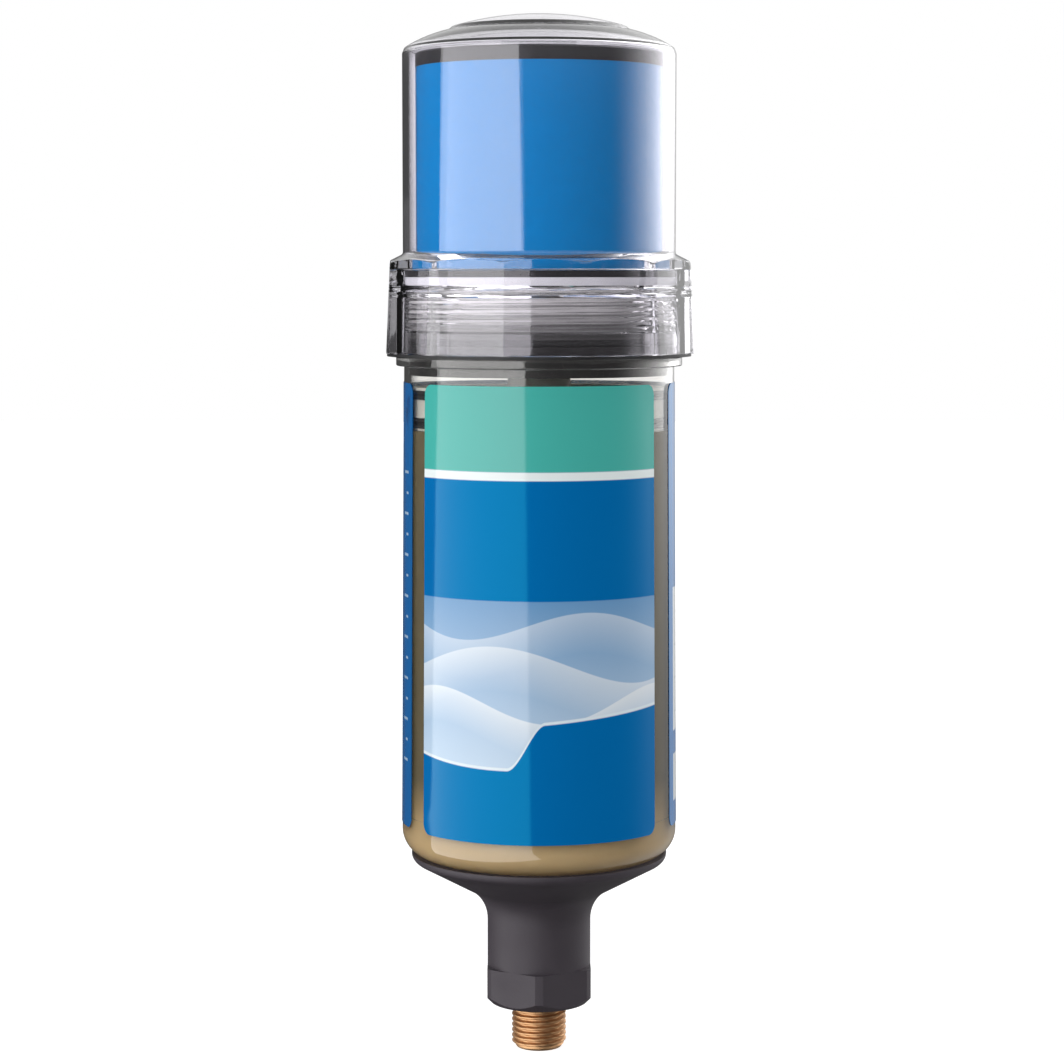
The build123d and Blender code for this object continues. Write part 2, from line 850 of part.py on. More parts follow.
# ---- setting dial: fluted knob with a grip bar and the switch shaft
dial_z = cap_top + dial_gap
time_dial = tube(dial_d, 0, dial_z, dial_h)
time_dial -= [
    Pos(dial_d / 2 * cos(a), dial_d / 2 * sin(a), dial_z + dial_h / 2)
    * Cylinder(dial_flute_d / 2, 2 * dial_h)
    for a in (2 * pi * (i + 0.5) / dial_flute_count for i in range(dial_flute_count))
]
for side in (-1, 1):
    time_dial -= block(
        -dial_d,
        dial_d,
        side * (dial_grip_w + dial_d) / 2 - dial_d / 2,
        side * (dial_grip_w + dial_d) / 2 + dial_d / 2,
        dial_z + dial_h - dial_grip_cut,
        dial_z + dial_h + 1,
    )
shaft_z = board_top + switch_floor + shaft_gap
time_dial += tube(dial_shaft_d, 0, shaft_z, dial_z + 0.1 - shaft_z)
save("time_dial", time_dial)

# ---- protective cover: threaded ring with twelve grip flats, shoulder, wall and stepped dome
inner_drop = cover_wall * 1.06
inner_shift = cover_wall * 0.4


def cap_bow(radius, rise):
    """Sagitta of the half-section of a spherical cap, so that its crown lies level."""
    chord = hypot(radius, rise)
    sphere_r = chord**2 / (2 * rise)
    return sphere_r - sqrt(sphere_r**2 - chord**2 / 4)


protective_cover = turned(
    (ring_bore_r, cover_z),
    (ring_foot_r, cover_z),
    (ring_top_r, ring_top, ring_fillet),
    (cover_r, shoulder_z, shoulder_fillet),
    (cover_r, crown_z - cover_corner),
    (cover_r - cover_corner / 2, crown_z + cover_corner / 4),
    -crown_bow,
    (disc_r + disc_step_w, crown_top),
    (disc_r, crown_top + disc_step),
    -cap_bow(disc_r, disc_rise),
    (0, apex_z),
    (0, apex_z - inner_drop),
    cap_bow(disc_r - inner_shift, disc_rise),
    (disc_r - inner_shift, crown_top + disc_step - inner_drop),
    (disc_r + disc_step_w - inner_shift, crown_top - inner_drop),
    crown_bow,
    (cover_in, crown_z - 0.9),
    (cover_in, base_top + flange_clear),
    (ring_bore_r, base_top + flange_clear),
)
facets_h = shoulder_z - cover_z
facets_draft = degrees(atan((ring_foot_r - ring_top_r) / (ring_top - cover_z)))
facets = RegularPolygon(ring_foot_r, cover_facet_count, rotation=cover_facet_turn)
facets = Pos(0, 0, cover_z) * extrude(facets, facets_h, taper=facets_draft)
protective_cover -= tube(2 * ring_foot_r + 2, 0, cover_z, facets_h) - facets
save("protective_cover", protective_cover)
cover_seal_r = ring_foot_r * cos(pi / cover_facet_count)
save(
    "cover_seal",
    tube(2 * cover_seal_r, 2 * (screw_r + cover_seal_fit), cover_seal_z, cover_seal_t),
)
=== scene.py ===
from math import atan2, ceil, cos, pi, radians, sin, tan

import bmesh
import bpy
from mathutils import Euler, Matrix, Vector


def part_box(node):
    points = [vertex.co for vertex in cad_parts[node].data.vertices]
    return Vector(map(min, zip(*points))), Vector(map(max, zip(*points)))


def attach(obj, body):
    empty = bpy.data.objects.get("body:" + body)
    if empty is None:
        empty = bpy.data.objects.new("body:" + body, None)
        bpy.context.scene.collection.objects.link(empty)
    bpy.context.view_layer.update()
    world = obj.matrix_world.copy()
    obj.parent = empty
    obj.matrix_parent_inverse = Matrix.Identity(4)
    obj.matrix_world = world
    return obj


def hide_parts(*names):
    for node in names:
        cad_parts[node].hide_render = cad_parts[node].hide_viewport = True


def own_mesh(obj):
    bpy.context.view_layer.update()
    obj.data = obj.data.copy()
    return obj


MM = 0.001

# nodes and settings that come again and again
MATH, RANGE, MIX = "ShaderNodeMath", "ShaderNodeMapRange", "ShaderNodeMix"
SMOOTH = {"interpolation_type": "SMOOTHSTEP"}
COLOURS = {"data_type": "RGBA"}
WHITE = (1.0, 1.0, 1.0, 1.0)

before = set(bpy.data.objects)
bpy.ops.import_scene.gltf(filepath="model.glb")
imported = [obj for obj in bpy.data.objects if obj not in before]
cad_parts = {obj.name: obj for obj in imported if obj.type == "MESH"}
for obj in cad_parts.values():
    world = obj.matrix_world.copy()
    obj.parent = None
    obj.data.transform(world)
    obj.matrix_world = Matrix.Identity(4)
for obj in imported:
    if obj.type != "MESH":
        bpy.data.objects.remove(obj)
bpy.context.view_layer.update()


# ---------------------------------------------------------------- small tools

def linear(hex_colour):
    """sRGB hex value as linear RGBA."""
    channels = (int(hex_colour[i:i + 2], 16) / 255 for i in (1, 3, 5))
    return (*((c / 12.92 if c <= 0.04045 else ((c + 0.055) / 1.055) ** 2.4) for c in channels), 1.0)


def wire(tree, node, inputs):
    """Sets or feeds a node's inputs, in order or by key. A node as a value stands for its first output."""
    for key, value in inputs.items() if isinstance(inputs, dict) else enumerate(inputs):
        if isinstance(value, bpy.types.Node):
            value = next(socket for socket in value.outputs if socket.enabled)
        if isinstance(value, bpy.types.NodeSocket):
            tree.links.new(value, node.inputs[key])
        else:
            node.inputs[key].default_value = value
    return node


def add(tree, kind, inputs=(), **settings):
    """One node with its settings and its inputs."""
    made = tree.nodes.new(kind)
    for name, value in settings.items():
        setattr(made, name, value)
    return wire(tree, made, inputs)


def blank(holder):
    """The emptied node tree of a material or a world."""
    holder.use_nodes = True
    holder.node_tree.nodes.clear()
    return holder.node_tree


def bowed(start, end, sagitta, count=8):
    """Corners of the arc between two corners that bulges by the sagitta, to the right of the way up."""
    chord = Vector(end) - Vector(start)
    side = Vector((chord.y, -chord.x)).normalized()
    sphere = chord.length_squared / (8 * sagitta) + sagitta / 2
    corners = []
    for k in range(1, count):
        along = k / count
        off = (along - 0.5) * chord.length
        rise = (sphere * sphere - off * off) ** 0.5 - abs(sphere - sagitta)
        corners.append(tuple(Vector(start) + chord * along + side * rise * (1 if sagitta > 0 else -1)))
    return corners


def cap(radius, edge_z, rise, count=14):
    """Corners along a spherical cap from its edge up to the axis."""
    sphere = (radius * radius + rise * rise) / (2 * rise)
    half = atan2(radius, sphere - rise)
    corners = []
    for k in range(count + 1):
        angle = half * (1 - k / count)
        corners.append((sphere * sin(angle), edge_z + rise - sphere + sphere * cos(angle)))
    return corners


def outline(*corners, bend=9):
    """Profile rows (r, z, thread, flat) in mm from corners (r, z), (r, z, fillet) or (r, z, fillet, marks).
    Marks: step cuts the run that leaves the corner into rows, thread is 1 or -1 where that run carries
    ridges outside or inside, flat is 1 where flats cut the piece."""
    rows = []
    for i, (r, z, *more) in enumerate(corners):
        fillet = more[0] if more else 0
        marks = more[1] if len(more) > 1 else {}
        flat = marks.get("flat", 0.0)
        here = Vector((r, z))
        before, after = Vector(corners[i - 1][:2]), Vector(corners[(i + 1) % len(corners)][:2])
        if fillet:
            u, v = (before - here).normalized(), (after - here).normalized()
            half = u.angle(v) / 2
            centre = here + (u + v).normalized() * fillet / sin(half)
            reach = fillet / tan(half)
            start, end = here + u * reach - centre, here + v * reach - centre
            turn = start.angle_signed(end)
            parts = max(2, ceil(abs(turn) / radians(90) * bend))
            for k in range(parts + 1):
                a = -turn * k / parts
                rows.append((centre.x + start.x * cos(a) - start.y * sin(a),
                             centre.y + start.x * sin(a) + start.y * cos(a), 0.0, flat))
        else:
            rows.append((r, z, 0.0, flat))
        if "step" in marks:
            length = (after - here).length
            parts = ceil(length / marks["step"])
            for k in range(1, parts):
                p = here.lerp(after, k / parts)
                fade = min(k, parts - k) / parts * length / marks.get("run_out", 1.0)
                rows.append((p.x, p.y, marks.get("thread", 0.0) * min(1.0, fade), flat))
    return rows


def new_tree(name, **sockets):
    """Geometry Nodes tree with those inputs: returns the tree and its input sockets by name."""
    tree = bpy.data.node_groups.new(name, "GeometryNodeTree")
    for key, kind in sockets.items():
        tree.interface.new_socket(name=key.replace("_", " "), in_out="INPUT", socket_type=f"NodeSocket{kind}")
    tree.interface.new_socket(name="Piece", in_out="OUTPUT", socket_type="NodeSocketGeometry")
    return tree, add(tree, "NodeGroupInput").outputs


def end_tree(tree, geometry, finish):
    """The tree's last steps: real geometry with its finish."""
    real = add(tree, "GeometryNodeRealizeInstances", [geometry])
    add(tree, "NodeGroupOutput", [add(tree, "GeometryNodeSetMaterial", {0: real, 2: finish})])
    return tree


def turned_piece_tree():
    """Turns a closed profile round the Z axis, raises a right-handed screw thread on the rows whose
    attribute "thread" is 1 (outside) or -1 (inside), and cuts flats on the rows whose "flat" is 1."""
    tree, given = new_tree(
        "turned piece with thread and flats", Profile="Geometry", Segments="Int", Start="Float",
        Pitch="Float", Thread_depth="Float", Crest_share="Float", Flat_count="Float",
        Flat_apothem="Float", Flat_foot="Float", Flat_draft="Float", Finish="Material")

    def sampled(value, kind="FLOAT"):
        return add(tree, "GeometryNodeSampleIndex", [given["Profile"], value, row], data_type=kind)

    def marked(name):
        return sampled(add(tree, "GeometryNodeInputNamedAttribute", [name], data_type="FLOAT"))

    # a sheet of points: one column for each step of the turn, and the profile's first row again at the end
    rows = add(tree, "GeometryNodeAttributeDomainSize", [given["Profile"]]).outputs["Point Count"]
    across = add(tree, MATH, [rows, 1.0], operation="ADD")
    columns = add(tree, MATH, [given["Segments"], 1.0], operation="ADD")
    sheet = add(tree, "GeometryNodeMeshGrid", [1.0, 1.0, columns, across])
    index = add(tree, "GeometryNodeInputIndex")
    column = add(tree, MATH, [add(tree, MATH, [index, across], operation="DIVIDE")], operation="FLOOR")
    before = add(tree, MATH, [column, across], operation="MULTIPLY")
    row = add(tree, MATH, [index, before], operation="SUBTRACT")
    row = add(tree, MATH, [row, rows], operation="MODULO")
    place = sampled(add(tree, "GeometryNodeInputPosition"), "FLOAT_VECTOR")
    split = add(tree, "ShaderNodeSeparateXYZ", [place]).outputs

    # the thread: a ridge that climbs one pitch in one turn
    turn = add(tree, MATH, [column, given["Segments"]], operation="DIVIDE")
    climb = add(tree, MATH, [split["Z"], given["Pitch"]], operation="DIVIDE")
    apart = add(tree, MATH, [climb, turn], operation="SUBTRACT")
    apart = add(tree, MATH, [apart, 0.5], operation="PINGPONG")
    crest = add(tree, MATH, [given["Crest share"], 0.5], operation="MULTIPLY")
    root = add(tree, MATH, [0.5, crest], operation="SUBTRACT")
    ridge = add(tree, RANGE, [apart, crest, root, 1.0, 0.0], **SMOOTH)
    height = add(tree, MATH, [ridge, given["Thread depth"]], operation="MULTIPLY")
    radius = add(tree, MATH, [height, marked("thread"), split["X"]], operation="MULTIPLY_ADD")

    # the flats: no point lies farther out than the polygon's sides, which lean in with height
    swept = add(tree, MATH, [turn, 2 * pi], operation="MULTIPLY")
    half = add(tree, MATH, [pi, given["Flat count"]], operation="DIVIDE")
    off_centre = add(tree, MATH, [swept, half], operation="PINGPONG")
    off_centre = add(tree, MATH, [half, off_centre], operation="SUBTRACT")
    climbed = add(tree, MATH, [split["Z"], given["Flat foot"]], operation="SUBTRACT")
    lean = add(tree, MATH, [climbed, given["Flat draft"]], operation="MULTIPLY")
    apothem = add(tree, MATH, [given["Flat apothem"], lean], operation="SUBTRACT")
    limit = add(tree, MATH, [off_centre], operation="COSINE")
    limit = add(tree, MATH, [apothem, limit], operation="DIVIDE")
    held = add(tree, MATH, [radius, limit], operation="MINIMUM")
    radius = add(tree, MIX, {0: marked("flat"), 2: radius, 3: held})

    angle = add(tree, MATH, [swept, given["Start"]], operation="ADD")
    x = add(tree, MATH, [radius, add(tree, MATH, [angle], operation="COSINE")], operation="MULTIPLY")
    y = add(tree, MATH, [radius, add(tree, MATH, [angle], operation="SINE")], operation="MULTIPLY")
    there = add(tree, "ShaderNodeCombineXYZ", [x, y, split["Z"]])
    moved = add(tree, "GeometryNodeSetPosition", {0: sheet, 2: there})
    closed = add(tree, "GeometryNodeMergeByDistance", {0: moved, 2: 1e-6})
    return end_tree(tree, closed, given["Finish"])


def marks_tree():
    """Flat marks laid at even steps round the Z axis, as on a dial's scale."""
    tree, given = new_tree(
        "marks round the axis", Count="Int", First="Float", Spacing="Float", Inner_radius="Float",
        Outer_radius="Float", Width="Float", Thickness="Float", Level="Float", Finish="Material")
    length = add(tree, MATH, [given["Outer radius"], given["Inner radius"]], operation="SUBTRACT")
    middle = add(tree, MATH, [length, 0.5, given["Inner radius"]], operation="MULTIPLY_ADD")
    size = add(tree, "ShaderNodeCombineXYZ", [length, given["Width"], given["Thickness"]])
    place = add(tree, "ShaderNodeCombineXYZ", {0: middle, 2: given["Level"]})
    bar = add(tree, "GeometryNodeMeshCube", [size])
    bar = add(tree, "GeometryNodeTransform", {"Geometry": bar, "Translation": place})
    points = add(tree, "GeometryNodeMeshLine", {"Count": given["Count"], "Offset": (0, 0, 0)})
    index = add(tree, "GeometryNodeInputIndex")
    angle = add(tree, MATH, [index, given["Spacing"], given["First"]], operation="MULTIPLY_ADD")
    turn = add(tree, "ShaderNodeCombineXYZ", {2: angle})
    spread = add(tree, "GeometryNodeInstanceOnPoints", {"Points": points, "Instance": bar, "Rotation": turn})
    return end_tree(tree, spread, given["Finish"])


def settle(obj, sharp=38.0):
    """Applies what is left on the object as a plain mesh with outward faces and smooth shading."""
    bpy.context.view_layer.update()
    mesh = bpy.data.meshes.new_from_object(obj.evaluated_get(bpy.context.evaluated_depsgraph_get()))
    obj.modifiers.clear()
    obj.data = mesh
    work = bmesh.new()
    work.from_mesh(mesh)
    bmesh.ops.dissolve_degenerate(work, dist=1e-7, edges=work.edges)
    bmesh.ops.recalc_face_normals(work, faces=work.faces)
    work.to_mesh(mesh)
    work.free()
    mesh.shade_smooth()
    mesh.set_sharp_from_angle(angle=radians(sharp))
    return obj


def grown(name, mesh, tree, **values):
    """Object that the tree makes from the mesh, its inputs set by their sockets' identifiers."""
    obj = bpy.data.objects.new(name, mesh)
    bpy.context.collection.objects.link(obj)
    modifier = obj.modifiers.new("made", "NODES")
    modifier.node_group = tree
    for item in tree.interface.items_tree:
        key = item.name.replace(" ", "_").lower()
        if item.in_out == "INPUT" and key in values:
            modifier[item.identifier] = values[key]
    return settle(obj)


def turned(name, rows, finish, segments=192, start=0.0, pitch=1.0, depth=0.0, crest=0.3,
           flats=(6, 1000.0), foot=0.0, draft=0.0):
    """Object turned round the Z axis from profile rows in mm. Flats are their count and apothem."""
    mesh = bpy.data.meshes.new(name)
    mesh.from_pydata([(r * MM, 0, z * MM) for r, z, *_ in rows],
                     [(i, (i + 1) % len(rows)) for i in range(len(rows))], [])
    for column, mark in ((2, "thread"), (3, "flat")):
        mesh.attributes.new(mark, "FLOAT", "POINT").data.foreach_set("value", [row[column] for row in rows])
    return grown(name, mesh, TURNED, segments=segments, start=radians(start), pitch=pitch * MM,
                 thread_depth=depth * MM, crest_share=crest, flat_count=float(flats[0]),
                 flat_apothem=flats[1] * MM, flat_foot=foot * MM, flat_draft=draft, finish=finish)


def put(obj, body, slot, *nodes):
    """The piece rides on the body and stands for the CAD nodes, which it hides. The slot is not used."""
    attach(obj, body)
    if nodes:
        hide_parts(*nodes)


TURNED = turned_piece_tree()
MARKS = marks_tree()

# ---------------------------------------------------------------- materials


def surface(name, colour, roughness, **sockets):
    """A material with its Principled shader: returns the material, its tree and the shader."""
    material = bpy.data.materials.new(name)
    tree = blank(material)
    given = {"Base Color": linear(colour), "Roughness": roughness}
    given.update({key.replace("_", " "): value for key, value in sockets.items()})
    shader = add(tree, "ShaderNodeBsdfPrincipled", given)
    add(tree, "ShaderNodeOutputMaterial", {"Surface": shader})
    return material, tree, shader


def cloud(tree, size_mm, detail=2.0):
    """Noise of that size on the piece."""
    place = add(tree, "ShaderNodeTexCoord").outputs["Object"]
    return add(tree, "ShaderNodeTexNoise", {"Vector": place, "Scale": 1 / (size_mm * MM), "Detail": detail})


def grain(tree, shader, size_mm, height_mm, detail=2.0):
    """A fine moulded or rolled texture of that grain size, as bump."""
    bump = add(tree, "ShaderNodeBump",
               {"Height": cloud(tree, size_mm, detail), "Distance": height_mm * MM, "Strength": 1.0})
    wire(tree, shader, {"Normal": bump})


def mottled(tree, shader, light, dark, size_mm, rough_low, rough_high):
    """Slow changes of colour and roughness over the piece, of that size."""
    slow = cloud(tree, size_mm, 4.0)
    shade = add(tree, MIX, {0: slow, 6: linear(dark), 7: linear(light)}, **COLOURS)
    sheen = add(tree, RANGE, [slow, 0.3, 0.7, rough_low, rough_high])
    wire(tree, shader, {"Base Color": shade, "Roughness": sheen})


def moulded(name, light, dark, roughness, size_mm=9.0, grain_mm=0.6, height_mm=0.008, **sockets):
    """Moulded plastic or rubber: a slightly uneven colour and sheen over a fine mould texture."""
    material, tree, shader = surface(name, light, roughness, **sockets)
    mottled(tree, shader, light, dark, size_mm, roughness - 0.04, roughness + 0.06)
    grain(tree, shader, grain_mm, height_mm)
    return material


def metal(name, light, dark, roughness, size_mm, height_mm=0.004, **sockets):
    """Bare or plated metal with slow changes of tone and sheen."""
    return moulded(name, light, dark, roughness, size_mm, 0.5, height_mm, Metallic=1.0, **sockets)


def see_through(name, tint, ior, roughness):
    """Clear moulded plastic that lets the lamps' light through to what it covers."""
    material, tree, shader = surface(name, tint, roughness, IOR=ior, Transmission_Weight=1.0)
    out = next(n for n in tree.nodes if n.bl_idname == "ShaderNodeOutputMaterial")
    ray = add(tree, "ShaderNodeLightPath").outputs
    clear = add(tree, "ShaderNodeBsdfTransparent", {"Color": tuple(c ** 0.5 for c in linear(tint))})
    wire(tree, out, {"Surface": add(tree, "ShaderNodeMixShader", [ray["Is Shadow Ray"], shader, clear])})
    return material


# Styrene acrylonitrile, injection moulded and polished: glass-clear with a trace of smoke, a hard gloss.
clear_san = see_through("clear moulded styrene acrylonitrile", "#f6f4fa", 1.57, 0.02)
# Clear copolyester, injection moulded: glass-clear, a little softer in gloss than the cover.
clear_copolyester = see_through("clear moulded copolyester", "#f8f7f5", 1.55, 0.03)
# Clear lamp epoxy and tinted acrylic, cast or moulded: water-clear, the tint deepens with thickness.
lamp_epoxy = see_through("clear cast lamp epoxy", "#e6ebe6", 1.54, 0.06)
green_acrylic = see_through("green tinted moulded acrylic", "#4fc46a", 1.49, 0.04)
red_acrylic = see_through("red tinted moulded acrylic", "#d8453c", 1.49, 0.04)

# Glass-filled polyamide, moulded in a fine spark-eroded mould: charcoal, a broad soft shine.
black_polyamide = moulded("moulded glass-filled polyamide", "#413b42", "#363037", 0.6, 9.0, 0.5, 0.018)
# Acrylonitrile styrene, moulded satin: near black for the drive, mid grey for the shell and the holder.
satin_black = moulded("moulded satin black styrene", "#1f1e20", "#19181a", 0.35)
satin_grey = moulded("moulded satin grey styrene", "#57595d", "#4e5054", 0.38)
# The dial in pale grey styrene: a little rougher, so that it is easy to grip and read.
pale_grey = moulded("moulded pale grey styrene", "#bcbec0", "#b1b3b6", 0.42, 6.0, 0.4, 0.012)
# Nitrile rubber, moulded: dead black, low sheen.
nitrile = moulded("moulded nitrile rubber", "#161618", "#101012", 0.55, 4.0, 0.7, 0.01)
# Polyoxymethylene, moulded natural white: dense and waxy; the gears a little yellower with their lubricant.
pale_acetal = moulded("moulded natural acetal", "#dbdad2", "#d0cfc6", 0.38, 8.0, 0.7, 0.008,
                      Subsurface_Weight=0.08, Subsurface_Scale=0.001)
gear_acetal = moulded("moulded gear acetal", "#d6cfb8", "#c6bea4", 0.3, 3.0, 0.4, 0.006)
# Black epoxy moulding compound on the small parts of the board: flat, with a fine sand texture.
epoxy_black = moulded("moulded black component epoxy", "#19191b", "#111113", 0.5, 2.0, 0.25, 0.01)

# Brass, turned and left bare: warm yellow metal, its sheen uneven where the tool and the air have been.
turned_brass = metal("turned brass", "#cda57d", "#b98f66", 0.52, 3.0)
# Ground steel: close, bright and even.
ground_steel = metal("ground steel", "#bdbdbf", "#adadb0", 0.22, 1.5, 0.002)
# Zinc-plated steel, passivated: a faint blue to yellow bloom in patches.
zinc_plate = metal("zinc-plated sheet steel", "#bcbfc2", "#b0ad9f", 0.34, 5.0)
# Drawn can, zinc plated: smoother than the sheet.
drawn_can = metal("drawn zinc-plated can", "#bfc1c4", "#a9abb0", 0.27, 7.0)
# Nickel-plated spring steel: warm white, bright.
nickel = metal("nickel-plated spring steel", "#cbc8c0", "#bab6ab", 0.24, 3.0, 0.002)


# ---------------------------------------------------------------- prints and other patterns


def round_the_can(tree, radius):
    """Distance round the piece from its front line, in mm."""
    split = add(tree, "ShaderNodeSeparateXYZ", [add(tree, "ShaderNodeTexCoord").outputs["Object"]]).outputs
    towards = add(tree, MATH, [split["Y"], -1.0], operation="MULTIPLY")
    angle = add(tree, MATH, [split["X"], towards], operation="ARCTAN2")
    return add(tree, MATH, [angle, radius], operation="MULTIPLY")


def up_the_piece(tree):
    """Height on the piece, in mm."""
    split = add(tree, "ShaderNodeSeparateXYZ", [add(tree, "ShaderNodeTexCoord").outputs["Object"]]).outputs
    return add(tree, MATH, [split["Z"], 1 / MM], operation="MULTIPLY")


def between(tree, value, low, high, soft=0.12):
    """1 where the value lies between low and high, with printed edges of that softness."""
    rise = add(tree, RANGE, [value, low - soft, low + soft])
    fall = add(tree, RANGE, [value, high - soft, high + soft, 1.0, 0.0])
    return add(tree, MATH, [rise, fall], operation="MULTIPLY")


def film(name, colour):
    """Gloss film: an even ink under a clear skin that lies almost flat."""
    material, tree, shader = surface(name, colour, 0.1)
    grain(tree, shader, 9.0, 0.02)
    return material, tree, shader


def inked(tree, shader, ink):
    """Gives the film its inks. A blue ink has no red in it, so its gloss takes a blue cast."""
    red = add(tree, "ShaderNodeSeparateColor", [ink])
    white = add(tree, RANGE, [red, 0.0, 0.06], **SMOOTH)
    cast = add(tree, MIX, {0: white, 6: linear("#3be6ff"), 7: WHITE}, **COLOURS)
    wire(tree, shader, {"Base Color": ink, "Specular Tint": cast})


# Polypropylene film, printed plain blue and gloss laminated.
blue_film, tree, shader = film("printed gloss film, plain blue", "#018ed3")

# The same film in four inks: green head, white rule, blue field and a picture of soft waves over an S-shaped
# edge with a white rim. Heights in mm above the seat, distances in mm round the can from its front line.
field_blue = "#026bb0"
front_film, tree, shader = film("printed gloss film, green over blue", field_blue)
label_r, picture_foot, picture_top, blue_top, rule_top, above_all = 32.8, 63.0, 101.4, 129.05, 131.0, 200.0
along, up = round_the_can(tree, label_r), up_the_piece(tree)
green_head = between(tree, up, rule_top, above_all)
white_rule = between(tree, up, blue_top, rule_top)
ink = add(tree, MIX, {0: green_head, 6: linear(field_blue), 7: linear("#47b3a9")}, **COLOURS)
ink = add(tree, MIX, {0: white_rule, 6: ink, 7: linear("#eef6f6")}, **COLOURS)
step = add(tree, RANGE, [along, -7.6, 1.4], **SMOOTH)
sag = add(tree, MATH, [add(tree, MATH, [along, 8.0], operation="ADD"), 2.0], operation="POWER")
low_edge = add(tree, MATH, [sag, 0.0035, 62.5], operation="MULTIPLY_ADD")
high_edge = add(tree, MATH, [along, 0.09, 73.1], operation="MULTIPLY_ADD")
edge = add(tree, MIX, {0: step, 2: low_edge, 3: high_edge})
above = add(tree, MATH, [up, edge], operation="SUBTRACT")
below_top = between(tree, up, 0.0, picture_top)
picture = add(tree, MATH, [between(tree, above, 0.0, 90.0), below_top], operation="MULTIPLY")
climb = add(tree, RANGE, [up, picture_foot, picture_top])
sky = add(tree, MIX, {0: climb, 6: linear("#c3d9ee"), 7: linear("#6c9cc9")}, **COLOURS)
for level, swing, turns, lag, depth, white in (
        (95.4, 3.3, 0.105, 0.4, 9.3, 0.45),
        (86.2, 4.7, 0.085, 2.5, 10.3, 0.6),
        (76.9, 3.9, 0.11, 4.4, 8.2, 0.75)):
    swell = add(tree, MATH, [along, turns, lag], operation="MULTIPLY_ADD")
    swell = add(tree, MATH, [swell], operation="SINE")
    swell = add(tree, MATH, [swell, swing, level], operation="MULTIPLY_ADD")
    under = add(tree, MATH, [swell, up], operation="SUBTRACT")
    fade = add(tree, RANGE, [under, 0.0, depth, white, 0.0])
    lit = add(tree, MATH, [fade, add(tree, RANGE, [under, -0.12, 0.12])], operation="MULTIPLY")
    sky = add(tree, MIX, {0: lit, 6: sky, 7: linear("#f2f7fb")}, **COLOURS)
rim = add(tree, MATH, [between(tree, above, -0.35, 0.35), below_top], operation="MULTIPLY")
ink = add(tree, MIX, {0: picture, 6: ink, 7: sky}, **COLOURS)
inked(tree, shader, add(tree, MIX, {0: rim, 6: ink, 7: linear("#e6f0f8")}, **COLOURS))

# The same film, blue, with a white fill scale at one edge and two ruled write-on fields at the other.
rear_blue = "#0b62a6"
rear_film, tree, shader = film("printed gloss film, blue with a fill scale", rear_blue)
along, up = round_the_can(tree, label_r), up_the_piece(tree)
ink = linear(rear_blue)
scale_foot, scale_head, scale_edge, half_step = 60.0, 130.2, -40.9, 4.9
strokes = add(tree, MATH, [up, scale_foot + 1.0], operation="SUBTRACT")
strokes = add(tree, MATH, [strokes, half_step], operation="PINGPONG")
scale_height = between(tree, up, scale_foot, scale_head)
for stroke_end, stroke in (
        (-44.5, between(tree, strokes, -1.0, 0.3)), (-42.6, between(tree, strokes, half_step - 0.28, 9.0))):
    mark = add(tree, MATH, [stroke, between(tree, along, stroke_end, scale_edge)], operation="MULTIPLY")
    mark = add(tree, MATH, [mark, scale_height], operation="MULTIPLY")
    ink = add(tree, MIX, {0: mark, 6: ink, 7: linear("#a9c4dc")}, **COLOURS)
for low, high in ((67.6, 102.0), (50.7, 62.0)):
    field = add(tree, MATH, [between(tree, up, low, high), between(tree, along, 43.5, 88.0)],
                operation="MULTIPLY")
    ink = add(tree, MIX, {0: field, 6: ink, 7: linear("#e3e9ec")}, **COLOURS)
rule = between(tree, add(tree, MATH, [up, 4.0], operation="PINGPONG"), -1.0, 0.12, 0.05)
rule = add(tree, MATH, [rule, between(tree, up, 70.0, 100.0)], operation="MULTIPLY")
rule = add(tree, MATH, [rule, between(tree, along, 46.0, 85.5)], operation="MULTIPLY")
inked(tree, shader, add(tree, MIX, {0: rule, 6: ink, 7: linear("#7f9cb5")}, **COLOURS))

# The gasket's silicone: the ribs of its skirt between neck and pot, at the thread's pitch, are painted on
# with no relief, pale crests and painted shade in the grooves. The skirt is also painted darker downwards, to
# near black at its foot.
silicone_painted_ribs, tree, shader = surface("moulded ribbed silicone rubber", "#f6f5f1", 0.5)
rib_z, half_rib, skirt_top = 171.9, 1.1, 173.2
up = up_the_piece(tree)
off_rib = add(tree, MATH, [up, rib_z], operation="SUBTRACT")
off_rib = add(tree, MATH, [off_rib, half_rib], operation="PINGPONG")
# painted shade: where the grooves between the painted ribs lie
groove_shade_mask = add(tree, RANGE, [off_rib, 0.15, 0.95], **SMOOTH)
# the skirt's tone, painted darker downwards to near black at its foot
rib_tone = add(tree, RANGE, [up, 160.8, 169.5, 0.08, 0.97], **SMOOTH)
# painted shade in the grooves: the crests' tone at 0.4
groove_painted_shade = add(tree, MATH, [rib_tone, 0.4], operation="MULTIPLY")
tone = add(tree, MIX, {0: groove_shade_mask, 2: rib_tone, 3: groove_painted_shade})
tone = add(tree, MIX, {0: add(tree, RANGE, [up, skirt_top, skirt_top + 0.3], **SMOOTH), 2: tone, 3: 0.93})
wire(tree, shader, {"Base Color": add(tree, "ShaderNodeCombineColor", [tone, tone, tone])})
grain(tree, shader, 0.8, 0.01)
